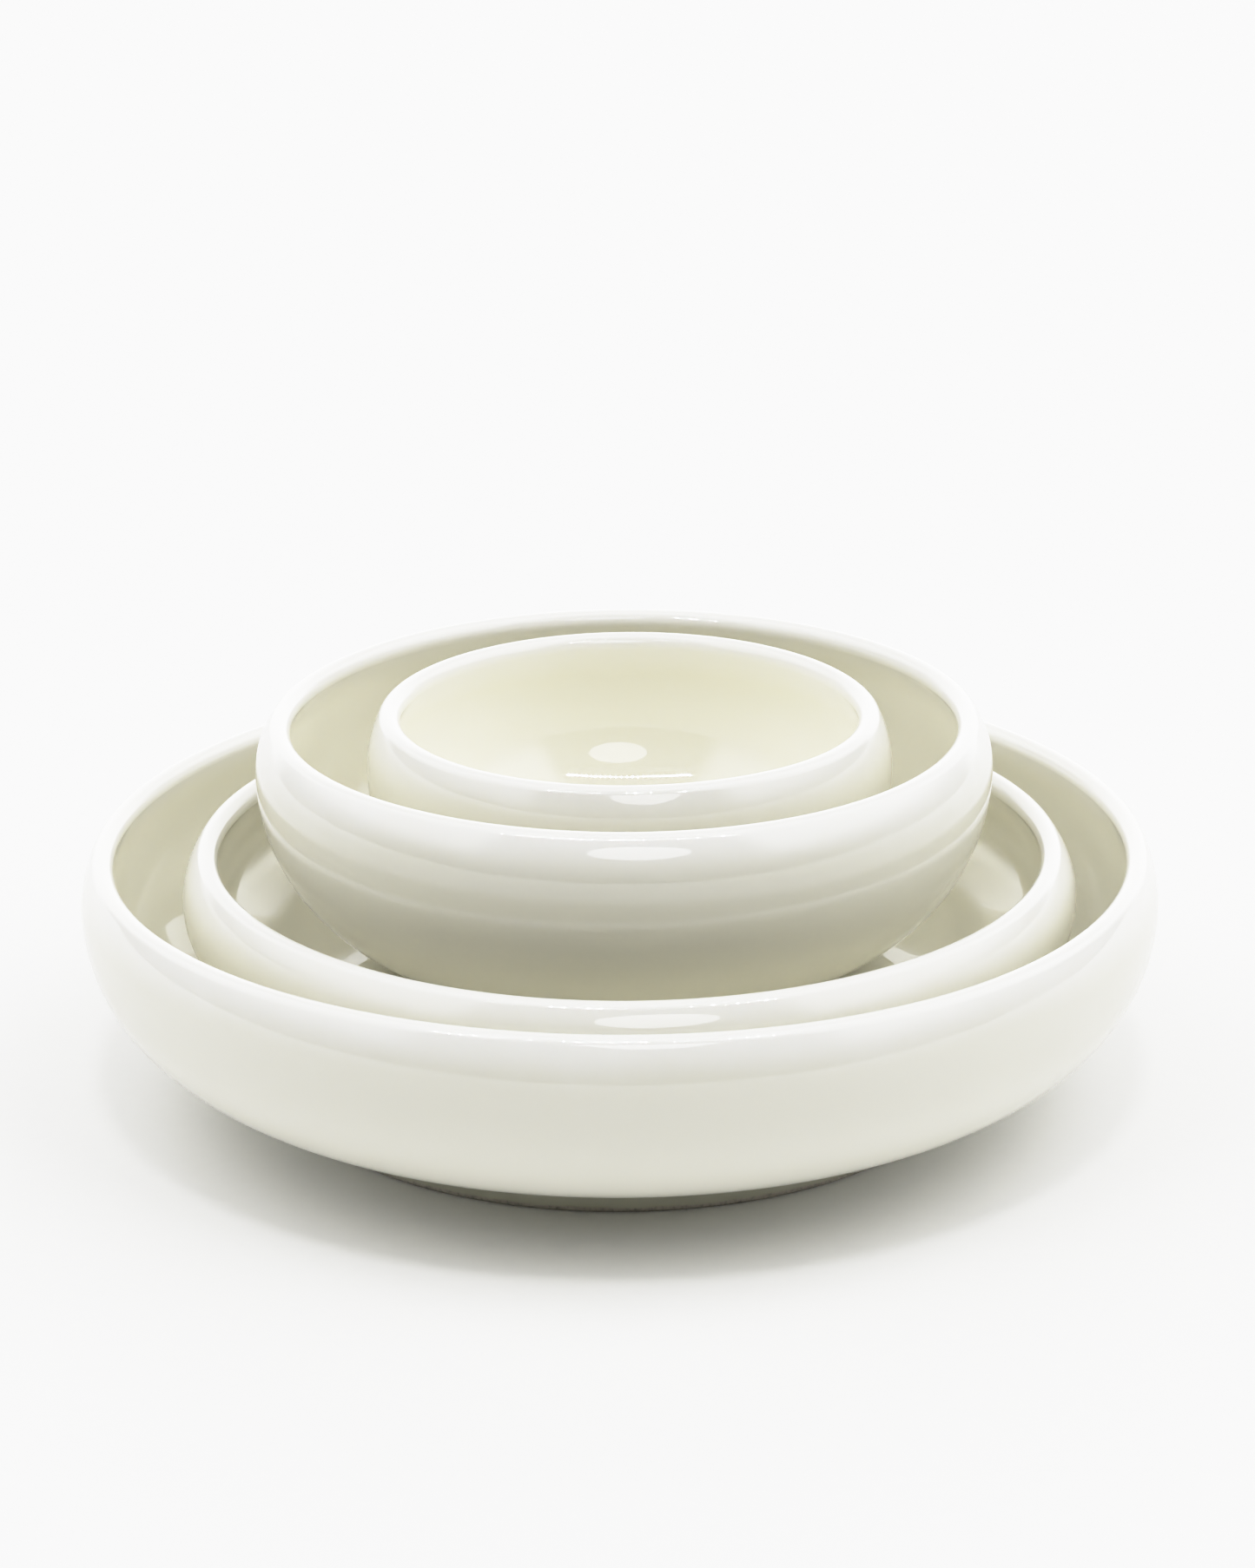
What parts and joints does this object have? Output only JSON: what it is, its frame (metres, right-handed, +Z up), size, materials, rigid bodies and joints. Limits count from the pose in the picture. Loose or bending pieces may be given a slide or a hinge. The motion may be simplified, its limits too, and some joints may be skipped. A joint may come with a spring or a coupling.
{
  "type": "nesting bowl set",
  "caption": "Low round porcelain bowls with thick rounded in-leaning rims and ring feet, stacked loose one inside the next from large to small.",
  "frame": {"origin": "centre of the largest bowl's foot ring, on the plane the nest stands on", "axes": "+Z up along the largest bowl's axis, the way every bowl lifts out; +X towards the side the inner bowls were set down to; +Y away from the viewer"},
  "size_m": [0.26, 0.26, 0.0925],
  "materials": {
    "largest_bowl_glaze": "gloss",
    "large_bowl_glaze": "gloss",
    "medium_bowl_glaze": "gloss",
    "small_bowl_glaze": "gloss"
  },
  "bodies": {
    "largest": {"largest_bowl": "largest_bowl_glaze"},
    "large": {"large_bowl": "large_bowl_glaze"},
    "medium": {"medium_bowl": "medium_bowl_glaze"},
    "small": {"small_bowl": "small_bowl_glaze"}
  },
  "joints": [
    {"name": "large_lift", "type": "slide", "parent": "largest", "child": "large", "axis": [0, 0, 1], "range_m": [0, 0.052]},
    {"name": "medium_lift", "type": "slide", "parent": "large", "child": "medium", "axis": [0, 0, 1], "range_m": [0, 0.04]},
    {"name": "small_lift", "type": "slide", "parent": "medium", "child": "small", "axis": [0, 0, 1], "range_m": [0, 0.06]}
  ]
}
